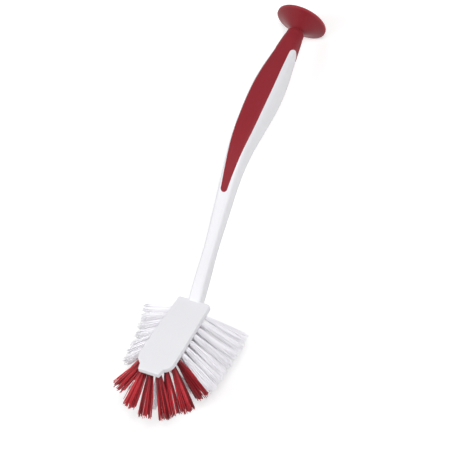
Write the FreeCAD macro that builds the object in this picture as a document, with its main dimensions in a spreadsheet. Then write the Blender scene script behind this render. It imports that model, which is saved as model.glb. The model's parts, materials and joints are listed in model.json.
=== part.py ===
import FreeCAD, Part
import math
import os

import Sketcher

# Dish brush: a moulded handle with a bent neck and a flat head, a soft grip moulded over it,
# a suction cup plugged into its end, and tufts of filament held in drilled holes by flat anchors.
# The plate frame, in which everything is drawn: origin at the middle of the back edge of the
# head's top face, +X towards the scraper nose, +Z out of the top face, +Y to the right.
# At the end the whole brush is laid down on its tufts and the rim of its cup.

Vector = FreeCAD.Vector
UP = Vector(0, 0, 1)
RIGHT = Vector(0, 1, 0)
FORWARD = Vector(1, 0, 0)

SIZES = (
    # head plate
    ("plate_length", 59.6), ("plate_thickness", 3.4),
    ("plate_back_half_width", 11.5), ("plate_front_half_width", 12.45),
    ("shoulder_start", 48.5), ("shoulder_radius", 7.0), ("notch_start", 54.9),
    ("notch_half_width", 8.3), ("scraper_half_width", 7.0),
    ("back_corner_radius", 1.6), ("plate_edge_radius", 0.7),
    # bevelled block under the plate, which takes the tufts
    ("block_depth", 7.1), ("block_back", 2.0), ("block_half_width", 11.2),
    ("bevel_run", 4.2), ("nose_centre", 44.5),
    # tufts and their anchors
    ("tuft_pitch", 5.1), ("hole_diameter", 2.9), ("hole_depth", 4.5),
    ("tuft_length", 30.5), ("inner_tuft_length", 26.0), ("tuft_collar", 1.3),
    ("side_tip_radius", 2.95), ("nose_tip_radius", 4.3), ("inner_tip_radius", 2.5),
    ("tuft_play", 0.1),
    ("inner_row_offset", 4.0), ("inner_nose_radius", 5.0),
    ("anchor_thickness", 0.4), ("anchor_height", 1.8), ("anchor_bite", 0.3),
    ("anchor_play", 0.03), ("filament_fold", 0.5),
    # handle: neck, bend, grip, end
    ("neck_drop", 3.5), ("neck_root", 4.0), ("neck_rise", 36.5), ("neck_length", 80.0),
    ("bend_radius", 97.0), ("grip_rise", 14.8), ("grip_run", 63.0),
    ("end_bend_radius", 300.0), ("end_rise", 13.3), ("collar_length", 4.0),
    ("neck_half_width", 4.15), ("neck_half_height", 4.15),
    ("grip_half_width", 9.22), ("grip_half_height", 9.92), ("end_radius", 5.4),
    ("collar_edge", 1.5),
    # soft grip
    ("grip_wall", 1.6), ("tongue_tip_radius", 2.4),
    ("upper_tongue_length", 117.2), ("upper_tongue_half_width", 7.2),
    ("under_tongue_length", 88.0), ("under_tongue_half_width", 7.0),
    ("window_end", 15.0), ("window_half_height", 4.5), ("window_lift", 1.9),
    # suction cup with its barbed plug
    ("cup_radius", 16.9), ("cup_height", 9.2), ("cup_lip", 1.0), ("cup_land", 0.9),
    ("cup_hollow", 5.4), ("cup_hollow_radius", 45.0), ("cup_back_radius", 60.0),
    ("cup_foot_radius", 4.4), ("cup_foot_height", 0.8), ("cup_gap", 0.2), ("cup_floor_radius", 2.6),
    ("plug_radius", 2.1), ("plug_barb_radius", 2.9), ("plug_barb_length", 3.2),
    ("plug_tip_radius", 1.7), ("plug_play", 0.08), ("plug_end_play", 0.3),
    # length by which every cutting tool passes the surface that it cuts
    ("overrun", 2.0),
)

# Handle sections: place, zone whose half sizes it follows, shares of the half width and half
# height, and corner radius as a share of the section's own half height. A section of the neck
# stands at a share of the way from the plate to the grip. A section of the grip stands off the
# collar by a share of the upper tongue's length, so the grip keeps its form on a longer neck.
NECK_STATION_SHARES = (
    (0.0, "neck", 1.084, 0.845, 0.46),
    (0.143, "neck", 1.06, 1.05, 0.45),
    (0.404, "neck", 1.0, 1.0, 0.55),
    (0.69, "neck", 1.145, 1.13, 0.53),
)
GRIP_STATION_SHARES = (
    (0.8835, "grip", 0.615, 0.572, 0.50),
    (0.7123, "grip", 0.774, 0.743, 0.48),
    (0.5586, "grip", 0.921, 0.910, 0.48),
    (0.397, "grip", 1.0, 1.0, 0.48),
    (0.2609, "grip", 0.93, 0.919, 0.50),
    (0.1489, "grip", 0.79, 0.756, 0.60),
    (0.056, "end", 1.2, 1.213, 0.78),
    (0.0, "end", 1.1, 1.095, 0.985),
)
# Edge of each tongue behind its round tip: share of its length to the window, share of its half width.
UPPER_TONGUE_SHARES = (
    (0.14, 0.514), (0.26, 0.708), (0.384, 0.889), (0.507, 0.965),
    (0.69, 1.0), (0.813, 0.93), (0.936, 0.8), (1.0, 0.736),
)
UNDER_TONGUE_SHARES = ((0.3, 0.52), (0.6, 0.74), (0.85, 0.87), (1.0, 1.0))
# Each tongue lies outside this share of the handle's half height.
TONGUE_LEVEL_SHARE = 0.45
# The collar narrows from the last section to the end radius by this share of their difference.
COLLAR_TAPER_SHARE = 0.35

# Outer tufts: heading off the nose, positive to the right, and drop below the plate, in degrees.
# The red ones go round the nose from left to right and lean a little, as filament sets in use;
# the white ones run from the nose backwards along each side.
NOSE_WAYS = (
    (-72.0, 54.0), (-47.5, 38.7), (-17.9, 43.2), (6.4, 43.6),
    (30.4, 45.6), (27.2, 60.8), (44.2, 46.8), (74.0, 56.2),
)
SIDE_WAYS = (
    (73.0, 37.5), (76.0, 36.5), (79.0, 35.5), (82.0, 33.5), (85.0, 30.0), (87.5, 25.0), (89.5, 19.5),
)
# Inner tufts, on the flat face: drops of each side row from the nose backwards, and for those in
# the nose their place round it, heading and drop.
INNER_HEADING = 90.0
INNER_DROPS = (50.0, 56.0, 61.0, 65.0, 68.0, 70.0, 72.0)
INNER_NOSE_WAYS = ((-60.0, -45.7, 38.5), (0.0, 0.7, 49.7), (75.0, 104.9, 65.7))
# The outer holes sit at this share of the way down the bevel.
OUTER_HOLE_SHARE = 0.405

TILT_STEPS = 60
LEVEL_STEPS = 16

doc = FreeCAD.newDocument("dish_brush")
sheet = doc.addObject("Spreadsheet::Sheet", "Sizes")
for row, (alias, number) in enumerate(SIZES, start=1):
    sheet.set(f"A{row}", alias)
    sheet.set(f"B{row}", str(number))
    sheet.setAlias(f"B{row}", alias)
doc.recompute()


def size(alias):
    return float(sheet.get(alias))


def value(expression):
    return float(sheet.evalExpression(expression))


def body_named(name):
    body = doc.addObject("PartDesign::Body", name)
    body.Label = name
    return body


def sketch_on(body, name, role):
    """Empty sketch on one of the body's own origin planes."""
    plane = next(item for item in body.Origin.OriginFeatures if item.Role == role)
    sketch = body.newObject("Sketcher::SketchObject", name)
    sketch.AttachmentSupport = [(plane, "")]
    sketch.MapMode = "FlatFace"
    return sketch


def bind(sketch, constraint, expression):
    """Adds a dimension to a sketch and ties it to the sheet."""
    number = sketch.addConstraint(constraint)
    if "Sizes" in expression:
        sketch.setExpression(f"Constraints[{number}]", expression)


def draw_outline(sketch, corners, radii=()):
    """Closed outline through corners given as expressions.

    Each entry of radii bends one run: its number, its radius, and 1 to bulge left of the way
    along the outline or -1 to bulge right of it.
    """
    places = [Vector(value(across), value(along), 0) for across, along in corners]
    bends = {run: (radius, side) for run, radius, side in radii}
    count = len(places)
    ends = []
    for run in range(count):
        start = places[run]
        finish = places[(run + 1) % count]
        if run not in bends:
            sketch.addGeometry(Part.LineSegment(start, finish))
            ends.append((1, 2))
            continue
        radius, side = value(bends[run][0]), bends[run][1]
        chord = finish - start
        inward = Vector(chord.y, -chord.x, 0).normalize() * side
        centre = (start + finish) / 2 + inward * math.sqrt(radius ** 2 - (chord.Length / 2) ** 2)
        turns = [math.atan2(place.y - centre.y, place.x - centre.x) for place in (start, finish)]
        circle = Part.Circle(centre, UP, radius)
        sketch.addGeometry(Part.ArcOfCircle(circle, *turns[::-side]))
        ends.append((1, 2) if side < 0 else (2, 1))
    for run in range(count):
        after = (run + 1) % count
        sketch.addConstraint(Sketcher.Constraint("Coincident", run, ends[run][1], after, ends[after][0]))
    for run, (across, along) in enumerate(corners):
        for kind, expression in (("DistanceX", across), ("DistanceY", along)):
            place = Sketcher.Constraint(kind, -1, 1, run, ends[run][0], value(expression))
            bind(sketch, place, expression)
    for run, (radius, side) in bends.items():
        bind(sketch, Sketcher.Constraint("Radius", run, value(radius)), radius)


def draw_rounded_rectangle(sketch, half_width, half_height, corner):
    """Rounded rectangle about the sketch's origin, its three sizes given as expressions."""
    wide, high, radius = value(half_width), value(half_height), value(corner)
    inner_wide, inner_high = wide - radius, high - radius
    quarter = math.pi / 2
    corners = ((1, 1, 0), (1, -1, 3), (-1, -1, 2), (-1, 1, 1))
    starts = ((-inner_wide, high), (wide, inner_high), (inner_wide, -high), (-wide, -inner_high))
    stops = ((inner_wide, high), (wide, -inner_high), (-inner_wide, -high), (-wide, inner_high))
    for (start, stop, (side, level, turn)) in zip(starts, stops, corners):
        sketch.addGeometry(Part.LineSegment(Vector(*start, 0), Vector(*stop, 0)))
        centre = Vector(side * inner_wide, level * inner_high, 0)
        circle = Part.Circle(centre, UP, radius)
        sketch.addGeometry(Part.ArcOfCircle(circle, turn * quarter, (turn + 1) * quarter))
    for line in (0, 2, 4, 6):
        arc = line + 1
        sketch.addConstraint(Sketcher.Constraint("Tangent", line, 2, arc, 2))
        sketch.addConstraint(Sketcher.Constraint("Tangent", arc, 1, (line + 2) % 8, 1))
    for arc in (3, 5, 7):
        sketch.addConstraint(Sketcher.Constraint("Equal", 1, arc))
    sketch.addConstraint(Sketcher.Constraint("Symmetric", 0, 1, 0, 2, -2))
    sketch.addConstraint(Sketcher.Constraint("Symmetric", 2, 1, 2, 2, -1))
    bind(sketch, Sketcher.Constraint("Radius", 1, radius), corner)
    bind(sketch, Sketcher.Constraint("DistanceX", -1, 1, 2, 1, wide), half_width)
    bind(sketch, Sketcher.Constraint("DistanceY", -1, 1, 0, 2, high), half_height)


def boolean(kind, name, base, tool):
    result = doc.addObject(f"Part::{kind}", name)
    result.Base = base
    result.Tool = tool
    return result


def compound(name, members):
    result = doc.addObject("Part::Compound", name)
    result.Links = members
    return result


# Middle line of the handle: neck line, bend, grip line, end bend, collar line.

def spine_runs():
    """Length, rise at the start and rise at the end of each run of the middle line, in radians."""
    neck, grip, end = (math.radians(size(name)) for name in ("neck_rise", "grip_rise", "end_rise"))
    return (
        (size("neck_length"), neck, neck),
        (size("bend_radius") * (neck - grip), neck, grip),
        (size("grip_run"), grip, grip),
        (size("end_bend_radius") * (grip - end), grip, end),
        (size("collar_length"), end, end),
    )


def handle_length():
    return sum(length for length, start, stop in spine_runs())


def spine(distance):
    """Point and rise of the handle's middle line, by distance from the plate's back edge."""
    point = Vector(0, 0, -size("neck_drop"))
    rise = math.radians(size("neck_rise"))
    left = distance
    for length, start, stop in spine_runs():
        step = min(left, length)
        rise = start + (stop - start) * step / length
        middle = (start + rise) / 2
        chord = step
        if start != stop and step > 0:
            half_turn = (start - rise) / 2
            chord = step * math.sin(half_turn) / half_turn
        point = point + Vector(-math.cos(middle), 0, math.sin(middle)) * chord
        left -= step
        if left <= 0:
            break
    return point, rise


def spine_frame(distance):
    """Placement on the middle line: X back along the handle, Y to the right, Z out of its top."""
    point, rise = spine(distance)
    back = Vector(-math.cos(rise), 0, math.sin(rise))
    top = Vector(math.sin(rise), 0, math.cos(rise))
    return FreeCAD.Placement(point, FreeCAD.Rotation(back, top.cross(back), top, "XZY"))


def half_sizes(zone):
    """Aliases of the half width and half height that a section's zone follows."""
    if zone == "end":
        return "end_radius", "end_radius"
    return f"{zone}_half_width", f"{zone}_half_height"


def neck_stations():
    """Sections of the neck, each with its distance along the middle line in place of its share."""
    grip_start = grip_stations()[0][0]
    return [(share * grip_start, *form) for share, *form in NECK_STATION_SHARES]


def grip_stations():
    """Sections of the grip, each with its distance along the middle line in place of its share."""
    grip_end = handle_length() - size("collar_length")
    return [(grip_end - share * size("upper_tongue_length"), *form) for share, *form in GRIP_STATION_SHARES]


def half_height_at(distance):
    """Half height of the handle's section, read between its stations."""
    rows = [(place, size(half_sizes(zone)[1]) * high)
            for place, zone, wide, high, corner in neck_stations() + grip_stations()]
    for (near, low), (far, tall) in zip(rows, rows[1:]):
        if distance <= far:
            return low + (tall - low) * (distance - near) / (far - near)
    return rows[-1][1]


def section_sizes(zone, wide, high, corner, inset):
    """Expressions for a section's half width, half height and corner, drawn in by an inset."""
    wide_alias, high_alias = half_sizes(zone)
    width = f"Sizes.{wide_alias} * {wide}"
    height = f"Sizes.{high_alias} * {high}"
    trim = f" - {inset}" if inset else ""
    return f"{width}{trim}", f"{height}{trim}", f"({height}) * {corner}{trim}"


def section_sketch(body, number, distance, sizes):
    """Rounded section square to the middle line, at a distance along it."""
    point, rise = spine(distance)
    sketch = sketch_on(body, f"{body.Label}_section_{number}", "YZ_Plane")
    turn = FreeCAD.Rotation(FORWARD, math.degrees(rise))
    sketch.AttachmentOffset = FreeCAD.Placement(Vector(0, point.z, point.x), turn)
    draw_rounded_rectangle(sketch, *sizes)
    return sketch


def loft_form(name, stations, inset, root):
    """Loft through handle sections; root adds one ahead of the first, inside the head."""
    body = body_named(name)
    sketches = []
    if root:
        sketches.append(section_sketch(body, "root", -root, section_sizes(*stations[0][1:], inset)))
    for number, (distance, zone, wide, high, corner) in enumerate(stations):
        sizes = section_sizes(zone, wide, high, corner, inset)
        sketches.append(section_sketch(body, number, distance, sizes))
    loft = body.newObject("PartDesign::AdditiveLoft", f"{name}_loft")
    loft.Profile = sketches[0]
    loft.Sections = sketches[1:]
    return body


def add_collar(body):
    """Short turned end of the handle, with a rounded rim, round the mouth of the cup's socket."""
    point, rise = spine(handle_length() - size("collar_length"))
    sketch = sketch_on(body, "collar_profile", "XZ_Plane")
    turn = FreeCAD.Rotation(UP, 180 - math.degrees(rise))
    sketch.AttachmentOffset = FreeCAD.Placement(Vector(point.x, point.z, 0), turn)
    last_share = GRIP_STATION_SHARES[-1][2]
    narrow_share = last_share - (last_share - 1) * COLLAR_TAPER_SHARE
    length = "Sizes.collar_length"
    narrow = f"Sizes.end_radius * {narrow_share}"
    draw_outline(sketch, (
        ("0", "0"), ("0", f"Sizes.end_radius * {last_share}"),
        (f"{length} - Sizes.collar_edge", narrow),
        (length, f"{narrow} - Sizes.collar_edge"),
        (length, "0"),
    ), radii=((2, "Sizes.collar_edge", 1),))
    collar = body.newObject("PartDesign::Revolution", "collar")
    collar.Profile = sketch
    collar.ReferenceAxis = (sketch, ["H_Axis"])
    collar.Angle = 360


# Head: plate, bevelled block and the rounded edges of both.

def upright_edges(shape, along):
    """Names of the upright edges at a distance along the plate."""
    names = []
    for number, edge in enumerate(shape.Edges, start=1):
        ends = [vertex.Point for vertex in edge.Vertexes]
        upright = len(ends) == 2 and (ends[1] - ends[0]).cross(UP).Length < size("anchor_play")
        if upright and abs(ends[0].x - along) < size("anchor_play"):
            names.append(f"Edge{number}")
    return names


def build_head():
    body = body_named("head_form")
    sketch = sketch_on(body, "plate_outline", "XY_Plane")
    right_side = (
        ("0", "Sizes.plate_back_half_width"),
        ("Sizes.shoulder_start", "Sizes.plate_front_half_width"),
        ("Sizes.notch_start", "Sizes.notch_half_width"),
        ("Sizes.plate_length", "Sizes.scraper_half_width"),
    )
    left_side = tuple((along, f"-{across}") for along, across in reversed(right_side))
    shoulders = ((1, "Sizes.shoulder_radius", 1), (5, "Sizes.shoulder_radius", 1))
    draw_outline(sketch, right_side + left_side, shoulders)
    plate = body.newObject("PartDesign::Pad", "plate")
    plate.Profile = sketch
    plate.setExpression("Length", "Sizes.plate_thickness")
    plate.Reversed = True
    doc.recompute()

    corners = body.newObject("PartDesign::Fillet", "back_corners")
    corners.Base = (plate, upright_edges(plate.Shape, 0))
    corners.setExpression("Radius", "Sizes.back_corner_radius")
    doc.recompute()

    rim = body.newObject("PartDesign::Fillet", "plate_edge")
    top = max(corners.Shape.Faces, key=lambda face: face.CenterOfMass.z)
    names = [f"Edge{number}" for number, edge in enumerate(corners.Shape.Edges, start=1)
             if any(edge.isSame(other) for other in top.Edges)]
    rim.Base = (corners, names)
    rim.setExpression("Radius", "Sizes.plate_edge_radius")
    doc.recompute()

    add_block(body)
    return body


def add_block(body):
    """Block under the plate: round-nosed outline, drawn in along the bevel to a smaller flat face."""
    sections = []
    top = size("plate_thickness")
    for name, depth, back, reach in (
        ("block_top", top, "Sizes.block_back", "Sizes.block_half_width"),
        ("block_face", top + size("block_depth"), "Sizes.block_back + Sizes.bevel_run",
         "Sizes.block_half_width - Sizes.bevel_run"),
    ):
        sketch = sketch_on(body, name, "XY_Plane")
        sketch.AttachmentOffset = FreeCAD.Placement(Vector(0, 0, -depth), FreeCAD.Rotation())
        draw_outline(sketch, (
            (back, f"-({reach})"), ("Sizes.nose_centre", f"-({reach})"),
            (f"Sizes.nose_centre + {reach}", "0"),
            ("Sizes.nose_centre", reach), (back, reach),
        ), radii=((1, reach, -1), (2, reach, -1)))
        sections.append(sketch)
    block = body.newObject("PartDesign::AdditiveLoft", "block")
    block.Profile = sections[0]
    block.Sections = sections[1:]
    block.Ruled = True
    doc.recompute()


# Tufts: where each one stands and which way it points.

def heading_vector(heading, drop):
    flat = math.cos(math.radians(drop))
    turned = math.radians(heading)
    return Vector(flat * math.cos(turned), flat * math.sin(turned), -math.sin(math.radians(drop)))


def outer_root(run):
    """Point on the bevel, by distance round the outline from the nose, positive to the right."""
    radius = size("block_half_width") - OUTER_HOLE_SHARE * size("bevel_run")
    depth = -size("plate_thickness") - OUTER_HOLE_SHARE * size("block_depth")
    arc = radius * math.pi / 2
    if abs(run) <= arc:
        turn = run / radius
        return Vector(size("nose_centre") + radius * math.cos(turn), radius * math.sin(turn), depth)
    side = math.copysign(radius, run)
    return Vector(size("nose_centre") - (abs(run) - arc), side, depth)


def tuft_table():
    """Name, root, direction, free length alias and kind of every tuft; the kind names its tip radius."""
    pitch = size("tuft_pitch")
    face = -size("plate_thickness") - size("block_depth")
    table = []
    middle = (len(NOSE_WAYS) - 1) / 2
    for step, (heading, drop) in enumerate(NOSE_WAYS):
        root = outer_root((step - middle) * pitch)
        way = heading_vector(heading, drop)
        table.append((f"nose_tuft_{step + 1}", root, way, "tuft_length", "nose"))
    first = len(NOSE_WAYS) / 2
    for side, side_name in ((1, "right"), (-1, "left")):
        for step, (heading, drop) in enumerate(SIDE_WAYS):
            root = outer_root(side * (first + step + 0.5) * pitch)
            way = heading_vector(side * heading, drop)
            table.append((f"side_tuft_{side_name}_{step + 1}", root, way, "tuft_length", "side"))
        for step, drop in enumerate(INNER_DROPS):
            beside = outer_root((first + step) * pitch)
            root = Vector(beside.x, side * size("inner_row_offset"), face)
            way = heading_vector(side * INNER_HEADING, drop)
            table.append((f"inner_tuft_{side_name}_{step + 1}", root, way, "inner_tuft_length", "inner"))
    for step, (place, heading, drop) in enumerate(INNER_NOSE_WAYS):
        turn = math.radians(place)
        reach = size("inner_nose_radius")
        root = Vector(size("nose_centre") + reach * math.cos(turn), reach * math.sin(turn), face)
        way = heading_vector(heading, drop)
        table.append((f"inner_nose_tuft_{step + 1}", root, way, "inner_tuft_length", "inner"))
    return table


def tuft_frame(root, way):
    """Placement at a hole's mouth: Z out along the tuft, X level."""
    level = UP.cross(way).normalize()
    return FreeCAD.Placement(root, FreeCAD.Rotation(level, way.cross(level), way, "ZXY"))


def build_tuft(name, length, kind):
    """Folded tuft: a root that fills its hole round the anchor, and a flared brush of filament."""
    body = body_named(name)
    profile = sketch_on(body, f"{name}_profile", "XZ_Plane")
    radius = "Sizes.hole_diameter / 2 - Sizes.tuft_play"
    bottom = "-(Sizes.hole_depth - Sizes.tuft_play)"
    draw_outline(profile, (
        ("0", bottom), (radius, bottom), (radius, "Sizes.tuft_collar"),
        (f"Sizes.{kind}_tip_radius", f"Sizes.{length}"), ("0", f"Sizes.{length}"),
    ))
    brush = body.newObject("PartDesign::Revolution", f"{name}_brush")
    brush.Profile = profile
    brush.ReferenceAxis = (profile, ["V_Axis"])
    brush.Angle = 360

    slot = sketch_on(body, f"{name}_slot", "YZ_Plane")
    half = "Sizes.anchor_thickness / 2 + Sizes.anchor_play"
    low = "-(Sizes.hole_depth - Sizes.filament_fold + Sizes.anchor_play)"
    high = f"{low} + Sizes.anchor_height + 2 * Sizes.anchor_play"
    draw_outline(slot, ((f"-({half})", low), (half, low), (half, high), (f"-({half})", high)))
    pocket = body.newObject("PartDesign::Pocket", f"{name}_anchor_slot")
    pocket.Profile = slot
    pocket.Type = "ThroughAll"
    pocket.Midplane = True
    return body


def anchor_box(name, frame, play):
    """Flat anchor across a hole, or its seat in the block with the given play all round."""
    box = doc.addObject("Part::Box", name)
    box.setExpression("Length", f"Sizes.hole_diameter + 2 * Sizes.anchor_bite + 2 * {play}")
    box.setExpression("Width", f"Sizes.anchor_thickness + 2 * {play}")
    box.setExpression("Height", f"Sizes.anchor_height + 2 * {play}")
    gap = value(play)
    low = -size("hole_depth") + size("filament_fold") - gap
    corner = Vector(-size("hole_diameter") / 2 - size("anchor_bite") - gap,
                    -size("anchor_thickness") / 2 - gap, low)
    box.Placement = frame.multiply(FreeCAD.Placement(corner, FreeCAD.Rotation()))
    return box


def hole_tool(name, frame):
    hole = doc.addObject("Part::Cylinder", name)
    hole.setExpression("Radius", "Sizes.hole_diameter / 2")
    hole.setExpression("Height", "Sizes.hole_depth + Sizes.overrun")
    bottom = FreeCAD.Placement(Vector(0, 0, -size("hole_depth")), FreeCAD.Rotation())
    hole.Placement = frame.multiply(bottom)
    return hole


# Grip: the tongues and sleeve of soft material let into the handle's skin.

def window_distance():
    """Distance along the handle to the middle of the window's round end."""
    return handle_length() - size("window_end") - size("window_half_height")


def chord_frame():
    """Flat plane from the tongue's tip to the window: X forward, Y left, Z out of the top."""
    tip = spine(handle_length() - size("upper_tongue_length"))[0]
    far = spine(window_distance())[0]
    forward = (tip - far).normalize()
    across = UP.cross(forward)
    return FreeCAD.Placement(far, FreeCAD.Rotation(forward, across, forward.cross(across), "XZY"))


def tongue_level(name, side):
    """Everything above, or below, a curve that follows the middle line at a share of the half height."""
    reach = 4 * size("grip_half_height")
    start = handle_length() - size(f"{name}_length") - 2 * size("tongue_tip_radius")
    finish = window_distance() + 2 * size("overrun")
    low, high = [], []
    for step in range(LEVEL_STEPS + 1):
        distance = start + (finish - start) * step / LEVEL_STEPS
        point, rise = spine(distance)
        out = Vector(math.sin(rise), 0, math.cos(rise)) * side
        low.append(point + out * half_height_at(distance) * TONGUE_LEVEL_SHARE - RIGHT * reach)
        high.append(point + out * reach - RIGHT * reach)
    curve = Part.BSplineCurve()
    curve.interpolate(low)
    corners = [low[-1], high[-1], high[0], low[0]]
    edges = [curve.toShape()] + [Part.LineSegment(a, b).toShape() for a, b in zip(corners, corners[1:])]
    band = doc.addObject("Part::Feature", f"{name}_level")
    band.Shape = Part.Face(Part.Wire(Part.__sortEdges__(edges))).extrude(RIGHT * 2 * reach)
    return band


def tongue_zone(name, shares, side):
    """Leaf outline of one tongue, drawn through the handle and kept to the top or the underside."""
    frame = chord_frame()
    tip_distance = handle_length() - size(f"{name}_length")
    run = window_distance() - tip_distance
    widest = size(f"{name}_half_width")
    edge = []
    for along, across in ((0, size("tongue_tip_radius") / widest),) + shares:
        distance = tip_distance + along * run
        point, rise = spine(distance)
        top = Vector(math.sin(rise), 0, math.cos(rise)) * half_height_at(distance) * side
        edge.append(Vector(frame.inverse().multVec(point + top).x, widest * across, 0))
    mirrored = [Vector(place.x, -place.y, 0) for place in edge]
    nose = Vector(edge[0].x + edge[0].y, 0, 0)
    back = edge[-1].x - size("overrun")
    left, right = Part.BSplineCurve(), Part.BSplineCurve()
    left.interpolate(edge)
    right.interpolate(mirrored)
    corners = [edge[-1], Vector(back, edge[-1].y, 0), Vector(back, -edge[-1].y, 0), mirrored[-1]]
    tail = [Part.LineSegment(a, b).toShape() for a, b in zip(corners, corners[1:])]
    edges = [Part.Arc(mirrored[0], nose, edge[0]).toShape(), left.toShape()] + tail + [right.toShape()]
    face = Part.Face(Part.Wire(Part.__sortEdges__(edges)))
    reach = 4 * size("grip_half_height")
    prism = doc.addObject("Part::Feature", name)
    prism.Shape = face.extrude(UP * 2 * reach)
    prism.Placement = frame.multiply(FreeCAD.Placement(-UP * reach, FreeCAD.Rotation()))
    return boolean("Common", f"{name}_zone", prism, tongue_level(name, side))


def sleeve_zone():
    """Everything behind the windows' round ends, which are cylinders across the handle."""
    reach = 4 * size("grip_half_width")
    middle = window_distance()
    zone = doc.addObject("Part::Box", "sleeve_space")
    zone.setExpression("Length", "8 * Sizes.grip_half_width")
    zone.setExpression("Width", "8 * Sizes.grip_half_width")
    zone.setExpression("Height", "8 * Sizes.grip_half_width")
    corner = FreeCAD.Placement(Vector(0, -reach, -reach), FreeCAD.Rotation())
    zone.Placement = spine_frame(middle).multiply(corner)
    window = doc.addObject("Part::Cylinder", "window_end")
    window.setExpression("Radius", "Sizes.window_half_height")
    window.setExpression("Height", "8 * Sizes.grip_half_width")
    across = FreeCAD.Placement(Vector(0, reach, size("window_lift")), FreeCAD.Rotation(FORWARD, 90))
    window.Placement = spine_frame(middle).multiply(across)
    return boolean("Cut", "sleeve_zone", zone, window)


# Suction cup and the socket that its plug snaps into; Z runs out along the cup's axis.

def cup_frame():
    point, rise = spine(handle_length())
    back = Vector(-math.cos(rise), 0, math.sin(rise))
    top = Vector(math.sin(rise), 0, math.cos(rise))
    return FreeCAD.Placement(point, FreeCAD.Rotation(top, back.cross(top), back, "ZXY"))


def add_turned(body, name, corners, radii=()):
    """Full turn of a profile about the body's own Z axis."""
    sketch = sketch_on(body, f"{name}_profile", "XZ_Plane")
    draw_outline(sketch, corners, radii)
    turned = body.newObject("PartDesign::Revolution", f"{name}_turned")
    turned.Profile = sketch
    turned.ReferenceAxis = (sketch, ["V_Axis"])
    turned.Angle = 360


def build_cup():
    body = body_named("suction_cup")
    barb_top = "-Sizes.collar_length - Sizes.plug_end_play"
    barb_tip = f"{barb_top} - Sizes.plug_barb_length"
    floor = "Sizes.cup_height - Sizes.cup_hollow"
    add_turned(body, "plug", (
        ("0", barb_tip), ("Sizes.plug_tip_radius", barb_tip),
        ("Sizes.plug_barb_radius", barb_top), ("Sizes.plug_radius", barb_top),
        ("Sizes.plug_radius", "Sizes.cup_gap"), ("Sizes.cup_floor_radius", "Sizes.cup_gap"),
        ("Sizes.cup_floor_radius", floor), ("0", floor),
    ))
    add_turned(body, "skirt", (
        ("Sizes.cup_floor_radius", "Sizes.cup_gap"), ("Sizes.cup_foot_radius", "Sizes.cup_gap"),
        ("Sizes.cup_foot_radius", "Sizes.cup_gap + Sizes.cup_foot_height"),
        ("Sizes.cup_radius", "Sizes.cup_height - Sizes.cup_lip"),
        ("Sizes.cup_radius", "Sizes.cup_height"),
        ("Sizes.cup_radius - Sizes.cup_land", "Sizes.cup_height"),
        ("Sizes.cup_floor_radius", floor),
    ), radii=((2, "Sizes.cup_back_radius", 1), (5, "Sizes.cup_hollow_radius", 1)))
    return body


def build_socket():
    """Space for the plug: a throat through the soft collar and an undercut chamber behind it."""
    body = body_named("socket_form")
    throat = "Sizes.plug_radius + Sizes.plug_play"
    chamber = "Sizes.plug_barb_radius + Sizes.plug_play"
    floor = "-Sizes.collar_length - Sizes.plug_barb_length - 2 * Sizes.plug_end_play"
    add_turned(body, "socket", (
        ("0", floor), (chamber, floor), (chamber, "-Sizes.collar_length"),
        (throat, "-Sizes.collar_length"), (throat, "Sizes.overrun"), ("0", "Sizes.overrun"),
    ))
    body.Placement = cup_frame()
    return body


# Lying down: the brush rests on its lowest tufts and the lower edge of the cup's rim.

def lowest(disc, up):
    centre, axis, radius = disc
    return centre.dot(up) - radius * math.sqrt(max(0.0, 1 - axis.dot(up) ** 2))


def resting_tilt(tips, rim):
    """Angle by which the nose is lifted when the tufts and the rim stand on one level."""
    low, high = 0.0, math.pi / 2
    for step in range(TILT_STEPS):
        tilt = (low + high) / 2
        up = Vector(math.sin(tilt), 0, math.cos(tilt))
        if min(lowest(tip, up) for tip in tips) < lowest(rim, up):
            low = tilt
        else:
            high = tilt
    return math.degrees(tilt)


def lay_down(nodes, tips, rim):
    """Turns every node about the plate's back edge and sets the origin under the middle of the brush."""
    turn = FreeCAD.Rotation(RIGHT, -resting_tilt(tips, rim))
    for node in nodes:
        node.Placement = FreeCAD.Placement(Vector(), turn).multiply(node.Placement)
    doc.recompute()
    box = Part.makeCompound([node.Shape for node in nodes]).optimalBoundingBox(False)
    shift = Vector(-box.Center.x, -box.Center.y, -box.ZMin)
    for node in nodes:
        node.Placement = FreeCAD.Placement(shift, FreeCAD.Rotation()).multiply(node.Placement)
    doc.recompute()
    return FreeCAD.Placement(shift, turn)


# Build

head = build_head()
skin = loft_form("skin_form", neck_stations() + grip_stations(), "", size("neck_root"))
add_collar(skin)
# The recess under the grip starts at the neck's last section, ahead of the tongue's tip.
recess = loft_form("recess_form", neck_stations()[-1:] + grip_stations(), "Sizes.grip_wall", 0)
socket = build_socket()
doc.recompute()

upper = tongue_zone("upper_tongue", UPPER_TONGUE_SHARES, 1)
under = tongue_zone("under_tongue", UNDER_TONGUE_SHARES, -1)
grip_zone = doc.addObject("Part::MultiFuse", "grip_zone")
grip_zone.Shapes = [upper, under, sleeve_zone()]
grip_blank = boolean("Common", "grip_blank", skin, grip_zone)
grip_solid = boolean("Cut", "grip_solid", grip_blank, recess)
grip = boolean("Cut", "grip_sleeve", grip_solid, socket)

tuft_rows = tuft_table()
frames = [tuft_frame(root, way) for name, root, way, length, kind in tuft_rows]
holes = compound("tuft_holes", [hole_tool(f"hole_{n}", frame) for n, frame in enumerate(frames)])
seats = compound("anchor_seats", [anchor_box(f"seat_{n}", frame, "Sizes.anchor_play")
                                  for n, frame in enumerate(frames)])
anchors = compound("tuft_anchors", [anchor_box(f"anchor_{n}", frame, "0 * Sizes.anchor_play")
                                    for n, frame in enumerate(frames)])
tufts = []
for (name, root, way, length, kind), frame in zip(tuft_rows, frames):
    tuft = build_tuft(name, length, kind)
    tuft.Placement = frame
    tufts.append(tuft)

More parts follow.
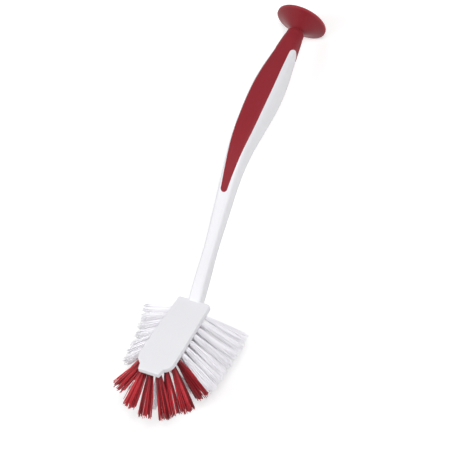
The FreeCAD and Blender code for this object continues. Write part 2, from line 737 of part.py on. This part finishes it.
blank = boolean("Fuse", "handle_blank", head, skin)
carved = boolean("Cut", "handle_carved", blank, grip_solid)
bored = boolean("Cut", "handle_bored", carved, socket)
drilled = boolean("Cut", "handle_drilled", bored, holes)
core = boolean("Cut", "handle_core", drilled, seats)

cup = build_cup()
cup.Placement = cup_frame()
doc.recompute()

nodes = [core, grip, cup, anchors] + tufts
tips = [(root + way * size(length), way, size(f"{kind}_tip_radius"))
        for name, root, way, length, kind in tuft_rows]
rim_axis = cup_frame().Rotation.multVec(UP)
rim = (cup_frame().Base + rim_axis * size("cup_height"), rim_axis, size("cup_radius"))
lying = lay_down(nodes, tips, rim)

# Check and write

for item in doc.Objects:
    if "Invalid" in item.State or "Error" in item.State:
        raise RuntimeError(f"{item.Name} failed: {item.State}")
for node in nodes:
    if node.Shape.isNull() or not node.Shape.isValid():
        raise RuntimeError(f"{node.Label} has no valid shape")

os.makedirs("parts", exist_ok=True)
for node in nodes:
    node.Shape.exportStep(f"parts/{node.Label}.step")
    print(node.Label, len(node.Shape.Solids), "solids", round(node.Shape.Volume, 1), "mm3")

axis = lying.Rotation.multVec(rim_axis)
print("cup axis", axis, "through", lying.multVec(cup_frame().Base))
print("rim centre", lying.multVec(rim[0]), "tilt", math.degrees(lying.Rotation.Angle))
whole = Part.makeCompound([node.Shape for node in nodes]).optimalBoundingBox(False)
print("box", whole)
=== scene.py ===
import json
import math
import random

import bmesh
import bpy
import numpy as np
from mathutils import Matrix, Vector


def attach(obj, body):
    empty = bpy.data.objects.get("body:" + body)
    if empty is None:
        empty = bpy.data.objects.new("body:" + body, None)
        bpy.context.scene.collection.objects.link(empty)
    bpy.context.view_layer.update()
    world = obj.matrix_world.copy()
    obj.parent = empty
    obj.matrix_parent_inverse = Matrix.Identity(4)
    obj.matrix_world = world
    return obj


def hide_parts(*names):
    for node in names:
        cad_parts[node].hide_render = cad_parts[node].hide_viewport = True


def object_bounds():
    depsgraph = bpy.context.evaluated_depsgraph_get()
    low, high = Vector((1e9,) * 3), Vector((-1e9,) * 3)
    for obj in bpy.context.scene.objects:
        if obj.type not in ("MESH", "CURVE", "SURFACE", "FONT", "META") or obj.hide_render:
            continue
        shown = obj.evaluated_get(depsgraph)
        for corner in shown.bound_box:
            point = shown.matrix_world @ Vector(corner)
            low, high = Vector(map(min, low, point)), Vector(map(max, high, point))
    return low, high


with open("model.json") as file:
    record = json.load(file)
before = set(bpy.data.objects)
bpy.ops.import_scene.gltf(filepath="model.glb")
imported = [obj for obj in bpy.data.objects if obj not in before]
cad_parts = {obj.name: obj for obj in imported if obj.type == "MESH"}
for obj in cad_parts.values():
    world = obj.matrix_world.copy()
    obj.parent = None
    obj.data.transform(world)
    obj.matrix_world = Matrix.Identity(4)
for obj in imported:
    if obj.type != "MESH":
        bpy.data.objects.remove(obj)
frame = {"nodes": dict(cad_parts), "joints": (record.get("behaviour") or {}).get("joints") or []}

MM = 0.001
CAD_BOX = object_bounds()

# Skin of a moulding: scale of its slow tone and cloudy gloss, stretch and turn of its scuffs, the noise
# at which a scuff starts and is full, and what a scuff does to roughness, height and colour.
TONE_SCALE = 38.0
CLOUD_SCALE = 120.0
SCUFF_STRETCH = (60.0, 900.0, 500.0)
SCUFF_TURN = (0.3, 0.5, 0.7)
SCUFF_START = 0.66
SCUFF_FULL = 0.74
SCUFF_ROUGHNESS = 0.12
SCUFF_HEIGHT = -0.6
SCUFF_TINT = 0.35
GRAIN_STRENGTH = 0.35
# Painted highlight along the cup's edge: its width and its paler colour.
RIM_HIGHLIGHT_WIDTH = 1.4 * MM
RIM_HIGHLIGHT_COLOUR = (0.32, 0.03, 0.04)

# Filament: sides of one, steps along it, how far it goes down its hole, and how far the CAD tuft's
# root lies below the hole's mouth.
FILAMENT_SIDES = 5
FILAMENT_STEPS = 5
BURIED_LENGTH = 2.2 * MM
ROOT_DEPTH = 4.4 * MM
# Finish of a filament: share of its free colour at the mouth, the rest being painted shade near the hole,
# share of the length at which that painted shade has gone, and roughness of the darkest and lightest ones.
MOUTH_UNSHADED_SHARE = 0.3
ROOT_SHADE_END = 0.45
FILAMENT_ROUGHNESS = (0.34, 0.5)
# Tufts by kind: filaments, filament radius, clumps, pull towards the clump, scatter of the tips and
# their spread along the row, uneven length as a share of the tuft, and swell of an outer filament
# in radians.
TUFT_KINDS = {
    "nose": {"count": 80, "radius": 0.23 * MM, "clumps": 9, "pull": 0.3, "stray": 0.12, "spread": 1.35,
             "ragged": 0.085, "swell": 0.16, "finish": "red_filament"},
    "side": {"count": 84, "radius": 0.16 * MM, "clumps": 8, "pull": 0.06, "stray": 0.12, "spread": 1.3,
             "ragged": 0.1, "swell": 0.12, "finish": "white_filament"},
    "inner": {"count": 64, "radius": 0.16 * MM, "clumps": 6, "pull": 0.1, "stray": 0.12, "spread": 1.1,
              "ragged": 0.05, "swell": 0.1, "finish": "white_filament"},
}
# All tufts: share of the tip's radius that the filaments fill, tip inset in filament radii, scatter of
# the way a filament swells, its least bend in radians and the shares of the swell it gets, and how far
# the shade differs between clumps and between filaments.
TIP_FILL = 0.95
TIP_INSET = 1.5
SWELL_SCATTER = 0.3
LEAST_BEND = 0.01
SWELL_SHARES = (0.4, 1.0)
CLUMP_SHADE = 0.15
FILAMENT_SHADE = 0.55
FIRST_SEED = 100
GOLDEN_TURN = math.pi * (3 - math.sqrt(5))
END_RING_DEPTH = 0.05 * MM

# Floor: half its side, its colour, and its added white under the brush, which rises to full white
# between two distances from it. The light from all round is a share of full white.
FLOOR_HALF_SIDE = 3.0
FLOOR_COLOUR = (0.88, 0.88, 0.88, 1.0)
FLOOR_LIFT = 0.3
FLOOR_NEAR = 0.3
FLOOR_FAR = 1.2
WORLD_LIGHT = 0.28
# Lamps: place and size in metres, power in watts.
LAMP_TARGET = (0.0, 0.0, 0.02)
LAMPS = {
    "key_lamp": {"place": (-0.12, 0.56, 1.11), "size": 0.6, "power": 9.4},
    "fill_lamp": {"place": (0.42, -0.62, 0.92), "size": 0.7, "power": 5.5},
}
# Camera: place and reach in metres, turn in degrees, lens and sensor in millimetres.
CAMERA_PLACE = (0.15535, 0.43991, 0.92288)
CAMERA_TURN = (16.883, 21.75, 110.779)
CAMERA_REACH = 20.0
CAMERA_LENS = 128.0
CAMERA_SENSOR = 36.0


# Shader nodes

def noise_node(tree, vector, scale, detail):
    """Noise of a scale that is a number or a socket."""
    noise = tree.nodes.new("ShaderNodeTexNoise")
    noise.inputs["Detail"].default_value = detail
    tree.links.new(vector, noise.inputs["Vector"])
    if isinstance(scale, (int, float)):
        noise.inputs["Scale"].default_value = scale
    else:
        tree.links.new(scale, noise.inputs["Scale"])
    return noise.outputs["Fac"]


def range_node(tree, value, low, high, start=0.0, stop=1.0):
    """Maps a value of start to stop onto low to high; each bound is a number or a socket."""
    node = tree.nodes.new("ShaderNodeMapRange")
    tree.links.new(value, node.inputs["Value"])
    for label, bound in (("From Min", start), ("From Max", stop), ("To Min", low), ("To Max", high)):
        if isinstance(bound, (int, float)):
            node.inputs[label].default_value = bound
        else:
            tree.links.new(bound, node.inputs[label])
    return node.outputs["Result"]


def scaled_sum_node(tree, value, factor, added):
    """A value times a fixed factor, plus another value."""
    node = tree.nodes.new("ShaderNodeMath")
    node.operation = "MULTIPLY_ADD"
    tree.links.new(value, node.inputs[0])
    node.inputs[1].default_value = factor
    tree.links.new(added, node.inputs[2])
    return node.outputs["Value"]


def vector_node(tree, operation, first, second=None):
    """Vector arithmetic on a socket; second is a fixed vector."""
    node = tree.nodes.new("ShaderNodeVectorMath")
    node.operation = operation
    tree.links.new(first, node.inputs[0])
    if second:
        node.inputs[1].default_value = second
    return node.outputs["Value" if operation == "LENGTH" else "Vector"]


def mix_colours(tree, factor, first, second):
    """Blend of two colours; each is three numbers or a colour socket."""
    mix = tree.nodes.new("ShaderNodeMix")
    mix.data_type = "RGBA"
    for socket, colour in ((mix.inputs["A"], first), (mix.inputs["B"], second)):
        if isinstance(colour, tuple):
            socket.default_value = (*colour, 1.0)
        else:
            tree.links.new(colour, socket)
    tree.links.new(factor, mix.inputs["Factor"])
    return mix.outputs["Result"]


def seen_by_eye(tree):
    """One for rays from the camera, straight or by gloss or glass, and zero for other rays."""
    ray = tree.nodes.new("ShaderNodeLightPath")
    seen = ray.outputs["Is Camera Ray"]
    for label in ("Is Glossy Ray", "Is Transmission Ray"):
        either = tree.nodes.new("ShaderNodeMath")
        either.operation = "MAXIMUM"
        tree.links.new(seen, either.inputs[0])
        tree.links.new(ray.outputs[label], either.inputs[1])
        seen = either.outputs["Value"]
    return seen


# Shader group of the moulded pieces

def new_group(name, inputs, outputs):
    """Empty shader group with inputs (name, socket type, default) and outputs (name, socket type)."""
    group = bpy.data.node_groups.new(name, "ShaderNodeTree")
    for label, kind, default in inputs:
        socket = group.interface.new_socket(label, in_out="INPUT", socket_type=kind)
        socket.default_value = default
    for label, kind in outputs:
        group.interface.new_socket(label, in_out="OUTPUT", socket_type=kind)
    return group, group.nodes.new("NodeGroupInput"), group.nodes.new("NodeGroupOutput")


def moulded_skin_group():
    """Skin of a moulding: slow changes of tone, cloudy gloss, fine tool grain and hairline scuffs."""
    group, entry, leave = new_group("moulded_skin", (
        ("Grain Scale", "NodeSocketFloat", 900.0),
        ("Gloss Low", "NodeSocketFloat", 0.3),
        ("Gloss High", "NodeSocketFloat", 0.4),
    ), (
        ("Tone", "NodeSocketFloat"), ("Roughness", "NodeSocketFloat"),
        ("Height", "NodeSocketFloat"), ("Scuff", "NodeSocketFloat"),
    ))
    place = group.nodes.new("ShaderNodeTexCoord").outputs["Object"]
    tone = noise_node(group, place, TONE_SCALE, 3.0)
    cloud = noise_node(group, place, CLOUD_SCALE, 4.0)
    grain = noise_node(group, place, entry.outputs["Grain Scale"], 2.0)

    stretch = group.nodes.new("ShaderNodeMapping")
    stretch.inputs["Scale"].default_value = SCUFF_STRETCH
    stretch.inputs["Rotation"].default_value = SCUFF_TURN
    group.links.new(place, stretch.inputs["Vector"])
    streaks = noise_node(group, stretch.outputs["Vector"], 1.0, 2.0)
    scuff = range_node(group, streaks, 0.0, 1.0, SCUFF_START, SCUFF_FULL)
    gloss = range_node(group, cloud, entry.outputs["Gloss Low"], entry.outputs["Gloss High"])

    results = {
        "Tone": tone,
        "Roughness": scaled_sum_node(group, scuff, SCUFF_ROUGHNESS, gloss),
        "Height": scaled_sum_node(group, scuff, SCUFF_HEIGHT, grain),
        "Scuff": scuff,
    }
    for label, result in results.items():
        group.links.new(result, leave.inputs[label])
    return group


SKIN_GROUP = moulded_skin_group()


# Materials

def new_material(name, settings):
    """Material with a Principled shader; settings holds the sockets that are the same all over."""
    material = bpy.data.materials.new(name)
    material.use_nodes = True
    tree = material.node_tree
    shader = tree.nodes["Principled BSDF"]
    for label, value in settings.items():
        shader.inputs[label].default_value = value
    return material, tree, shader


def moulded_material(name, dark, light, scuffed, gloss, grain_scale, grain_depth, settings):
    """Moulded plastic or rubber, or drawn wire."""
    material, tree, shader = new_material(name, settings)
    skin = tree.nodes.new("ShaderNodeGroup")
    skin.node_tree = SKIN_GROUP
    skin.inputs["Grain Scale"].default_value = grain_scale
    skin.inputs["Gloss Low"].default_value = gloss[0]
    skin.inputs["Gloss High"].default_value = gloss[1]
    tone = mix_colours(tree, skin.outputs["Tone"], dark, light)
    faint = range_node(tree, skin.outputs["Scuff"], 0.0, SCUFF_TINT)
    tree.links.new(mix_colours(tree, faint, tone, scuffed), shader.inputs["Base Color"])
    tree.links.new(skin.outputs["Roughness"], shader.inputs["Roughness"])
    bump = tree.nodes.new("ShaderNodeBump")
    bump.inputs["Strength"].default_value = GRAIN_STRENGTH
    bump.inputs["Distance"].default_value = grain_depth
    tree.links.new(skin.outputs["Height"], bump.inputs["Height"])
    tree.links.new(bump.outputs["Normal"], shader.inputs["Normal"])
    return material


def paint_rim_highlight(material, node, joint):
    """Painted highlight: a paler edge round a turned piece, where its lip would catch the light."""
    base, axis = Vector(joint["pos_m"]), Vector(joint["axis"])
    rim = max((vertex.co - base).cross(axis).length for vertex in frame["nodes"][node].data.vertices)
    tree = material.node_tree
    colour = tree.nodes["Principled BSDF"].inputs["Base Color"]
    place = tree.nodes.new("ShaderNodeTexCoord").outputs["Object"]
    across = vector_node(tree, "CROSS_PRODUCT", vector_node(tree, "SUBTRACT", place, base), axis)
    # Painted highlight: the colour turns paler within the edge band.
    highlit = range_node(tree, vector_node(tree, "LENGTH", across), 0.0, 1.0, rim - RIM_HIGHLIGHT_WIDTH, rim)
    tree.links.new(mix_colours(tree, highlit, colour.links[0].from_socket, RIM_HIGHLIGHT_COLOUR), colour)


def filament_material(name, root, dark, light, settings):
    """Filament: a shade that differs from one to the next, and the root's colour near the hole, which is
    painted shade.
    """
    material, tree, shader = new_material(name, settings)
    shade = tree.nodes.new("ShaderNodeAttribute")
    shade.attribute_name = "shade"
    along = tree.nodes.new("ShaderNodeAttribute")
    along.attribute_name = "along"
    tint = mix_colours(tree, shade.outputs["Fac"], dark, light)
    # Painted shade: the root colour darkens the filament near the hole.
    free = range_node(tree, along.outputs["Fac"], MOUTH_UNSHADED_SHARE, 1.0, 0.0, ROOT_SHADE_END)
    tree.links.new(mix_colours(tree, free, root, tint), shader.inputs["Base Color"])
    tree.links.new(range_node(tree, shade.outputs["Fac"], *FILAMENT_ROUGHNESS), shader.inputs["Roughness"])
    return material


WHITE_PLASTIC = moulded_material(
    "white_moulded_plastic",
    dark=(0.772, 0.772, 0.802), light=(0.804, 0.804, 0.834), scuffed=(0.72, 0.72, 0.746),
    gloss=(0.34, 0.44), grain_scale=1500.0, grain_depth=0.02 * MM,
    settings={"IOR": 1.49, "Specular IOR Level": 0.4})
RED_RUBBER = moulded_material(
    "red_soft_grip",
    dark=(0.228, 0.014, 0.022), light=(0.265, 0.019, 0.029), scuffed=(0.318, 0.044, 0.055),
    gloss=(0.5, 0.62), grain_scale=2200.0, grain_depth=0.03 * MM,
    settings={"IOR": 1.5, "Specular IOR Level": 0.2})
CUP_RUBBER = moulded_material(
    "red_cup_rubber",
    dark=(0.2, 0.01, 0.017), light=(0.236, 0.013, 0.021), scuffed=(0.28, 0.03, 0.04),
    gloss=(0.36, 0.46), grain_scale=1200.0, grain_depth=0.02 * MM,
    settings={"IOR": 1.5, "Specular IOR Level": 0.25})
# Painted highlight round the cup's rim.
paint_rim_highlight(CUP_RUBBER, "suction_cup", frame["joints"][0])
ANCHOR_STEEL = moulded_material(
    "flat_wire_steel",
    dark=(0.5, 0.5, 0.5), light=(0.62, 0.62, 0.62), scuffed=(0.7, 0.7, 0.7),
    gloss=(0.25, 0.4), grain_scale=3000.0, grain_depth=0.01 * MM,
    settings={"Metallic": 1.0})
# The rough scatter of the white filaments stands in for light that passes through real ones.
FILAMENTS = {
    "white_filament": filament_material(
        "white_filament",
        # root: painted shade near the hole.
        root=(0.91, 0.9, 0.935), dark=(0.945, 0.935, 0.97), light=(0.985, 0.975, 1.0),
        settings={"IOR": 1.5, "Specular IOR Level": 0.4, "Diffuse Roughness": 1.0}),
    # Red filament: its spread from dark to light is partly random tone, and partly painted shade between
    # strands and painted highlight on strands.
    "red_filament": filament_material(
        "red_filament",
        # root: painted shade near the hole.
        root=(0.05, 0.001, 0.003), dark=(0.13, 0.002, 0.005), light=(0.74, 0.055, 0.072),
        settings={"IOR": 1.5, "Specular IOR Level": 0.25}),
}
CAD_FINISHES = {
    "handle_core": WHITE_PLASTIC, "grip_sleeve": RED_RUBBER,
    "suction_cup": CUP_RUBBER, "tuft_anchors": ANCHOR_STEEL,
}


# Tufts: bundles of filament where the CAD tufts stand

def tuft_axis(name):
    """Ends of a CAD tuft's axis, root first, and the radius at each end."""
    points = np.array([vertex.co for vertex in frame["nodes"][name].data.vertices], float)
    middle = points.mean(0)
    way = np.linalg.svd(points - middle, full_matrices=False)[2][0]
    reach = (points - middle) @ way
    ends = []
    for edge in (reach.min(), reach.max()):
        ring = points[np.abs(reach - edge) < END_RING_DEPTH]
        centre = (ring.min(0) + ring.max(0)) / 2
        ends.append((np.linalg.norm(ring - centre, axis=1).max(), Vector(centre)))
    (root_radius, root), (tip_radius, tip) = sorted(ends, key=lambda end: end[0])
    return root, tip, root_radius, tip_radius


def sunflower(count):
    """Even places in a disc of radius one."""
    for number in range(count):
        reach = math.sqrt((number + 0.5) / count)
        yield reach * math.cos(number * GOLDEN_TURN), reach * math.sin(number * GOLDEN_TURN)


def add_filament(bm, start, finish, outward, bend, radius):
    """One filament: a small ring spun along a shallow arc from start to finish that swells outward."""
    chord = finish - start
    way = chord.normalized()
    hinge = outward.cross(way).normalized()
    tangent = Matrix.Rotation(-bend / 2, 3, hinge) @ way
    centre = start + hinge.cross(tangent) * chord.length / (2 * math.sin(bend / 2))
    facing = Matrix.Translation(start) @ tangent.to_track_quat("Z", "Y").to_matrix().to_4x4()
    ring = bmesh.ops.create_circle(
        bm, cap_ends=True, segments=FILAMENT_SIDES, radius=radius, matrix=facing)
    face = ring["verts"][0].link_faces[0]
    geometry = [face] + list(face.edges) + list(ring["verts"])
    bmesh.ops.spin(
        bm, geom=geometry, cent=centre, axis=hinge, angle=bend, steps=FILAMENT_STEPS, use_merge=False)


def build_tuft(name, kind, rng):
    """Filaments that fan out from a CAD tuft's hole to its tip."""
    root, tip, root_radius, tip_radius = tuft_axis(name)
    way = (tip - root).normalized()
    side = Vector((0, 0, 1)).cross(way).normalized()
    other = way.cross(side)
    mouth = root + way * ROOT_DEPTH
    free_length = (tip - mouth).length
    root_reach = root_radius - kind["radius"]
    tip_reach = tip_radius - TIP_INSET * kind["radius"]
    limit = CAD_BOX[1][0] - kind["radius"]
    clumps = [(across, up, rng.uniform(-CLUMP_SHADE, CLUMP_SHADE))
              for across, up in sunflower(kind["clumps"])]

    bm = bmesh.new()
    shade_layer = bm.verts.layers.float.new("shade")
    along_layer = bm.verts.layers.float.new("along")
    for across, up in sunflower(kind["count"]):
        clump = min(clumps, key=lambda spot: (spot[0] - across) ** 2 + (spot[1] - up) ** 2)
        far = Vector((across, up)).lerp(Vector(clump[:2]), kind["pull"]) * TIP_FILL
        far += Vector((rng.gauss(0, kind["stray"]), rng.gauss(0, kind["stray"])))
        if far.length > 1:
            far.normalize()
        near_place = mouth + (side * across + other * up) * root_reach
        far_place = tip + (side * far.x * kind["spread"] + other * far.y) * tip_reach
        run = (far_place - near_place).normalized()
        start = near_place - run * BURIED_LENGTH
        finish = near_place + run * free_length * (1 - abs(rng.gauss(0, kind["ragged"])))
        if finish.x > limit:
            finish = near_place.lerp(finish, (limit - near_place.x) / (finish.x - near_place.x))
        outward = side * (far.x + rng.uniform(-SWELL_SCATTER, SWELL_SCATTER))
        outward += other * (far.y + rng.uniform(-SWELL_SCATTER, SWELL_SCATTER))
        bend = LEAST_BEND + kind["swell"] * far.length * rng.uniform(*SWELL_SHARES)
        shade = 0.5 + clump[2] + rng.uniform(-FILAMENT_SHADE, FILAMENT_SHADE)
        before = len(bm.verts)
        add_filament(bm, start, finish, outward, bend, kind["radius"])
        bm.verts.ensure_lookup_table()
        for vertex in bm.verts[before:]:
            vertex[shade_layer] = min(1.0, max(0.0, shade))
            vertex[along_layer] = max(0.0, min(1.0, (vertex.co - mouth).dot(way) / free_length))
    open_rims = [edge for edge in bm.edges if edge.is_boundary]
    bmesh.ops.holes_fill(bm, edges=open_rims, sides=FILAMENT_SIDES)
    bmesh.ops.recalc_face_normals(bm, faces=bm.faces)
    for face in bm.faces:
        face.smooth = len(face.verts) == 4
    mesh = bpy.data.meshes.new(f"{name}_filaments")
    bm.to_mesh(mesh)
    bm.free()
    piece = bpy.data.objects.new(f"{name}_filaments", mesh)
    bpy.context.scene.collection.objects.link(piece)
    return piece


for node, material in CAD_FINISHES.items():
    slots = frame["nodes"][node].data.materials
    slots.clear()
    slots.append(material)

for number, node in enumerate(sorted(frame["nodes"])):
    if node in CAD_FINISHES:
        continue
    kind = TUFT_KINDS[node.split("_")[0]]
    tuft = build_tuft(node, kind, random.Random(FIRST_SEED + number))
    tuft.data.materials.append(FILAMENTS[kind["finish"]])
    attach(tuft, "brush")
    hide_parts(node)


# Floor, light and camera

def build_floor():
    """White floor that keeps the brush's shadow and fades to full white further out."""
    bm = bmesh.new()
    bmesh.ops.create_grid(bm, x_segments=1, y_segments=1, size=FLOOR_HALF_SIDE)
    mesh = bpy.data.meshes.new("floor")
    bm.to_mesh(mesh)
    bm.free()
    floor = bpy.data.objects.new("floor", mesh)
    bpy.context.scene.collection.objects.link(floor)
    material, tree, shader = new_material("floor_white", {
        "Base Color": FLOOR_COLOUR, "Roughness": 0.9, "Specular IOR Level": 0.1,
        "Emission Color": (1.0, 1.0, 1.0, 1.0)})
    reach = vector_node(tree, "LENGTH", tree.nodes.new("ShaderNodeTexCoord").outputs["Object"])
    white = range_node(tree, reach, FLOOR_LIFT, 1.0, FLOOR_NEAR, FLOOR_FAR)
    tree.links.new(range_node(tree, seen_by_eye(tree), 0.0, white), shader.inputs["Emission Strength"])
    mesh.materials.append(material)


def add_lamp(name, place, size, power):
    """Soft round lamp aimed at the brush."""
    light = bpy.data.lights.new(name, "AREA")
    light.shape = "DISK"
    light.size = size
    light.energy = power
    lamp = bpy.data.objects.new(name, light)
    lamp.location = place
    lamp.rotation_euler = (Vector(LAMP_TARGET) - Vector(place)).to_track_quat("-Z", "Y").to_euler()
    bpy.context.scene.collection.objects.link(lamp)


def build_world():
    """Even light from all round, with a white backdrop."""
    world = bpy.data.worlds.new("studio")
    world.use_nodes = True
    backdrop = world.node_tree.nodes["Background"]
    backdrop.inputs["Color"].default_value = (1.0, 1.0, 1.0, 1.0)
    strength = range_node(world.node_tree, seen_by_eye(world.node_tree), WORLD_LIGHT, 1.0)
    world.node_tree.links.new(strength, backdrop.inputs["Strength"])
    bpy.context.scene.world = world


def build_camera():
    """Camera at the photo's angle."""
    camera = bpy.data.objects.new("camera", bpy.data.cameras.new("camera"))
    camera.data.sensor_width = CAMERA_SENSOR
    camera.data.lens = CAMERA_LENS
    camera.data.clip_end = CAMERA_REACH
    camera.location = CAMERA_PLACE
    camera.rotation_euler = [math.radians(angle) for angle in CAMERA_TURN]
    bpy.context.scene.collection.objects.link(camera)
    bpy.context.scene.camera = camera


build_floor()
for name, lamp in LAMPS.items():
    add_lamp(name, **lamp)
build_world()
build_camera()
bpy.context.scene.view_settings.view_transform = "Standard"
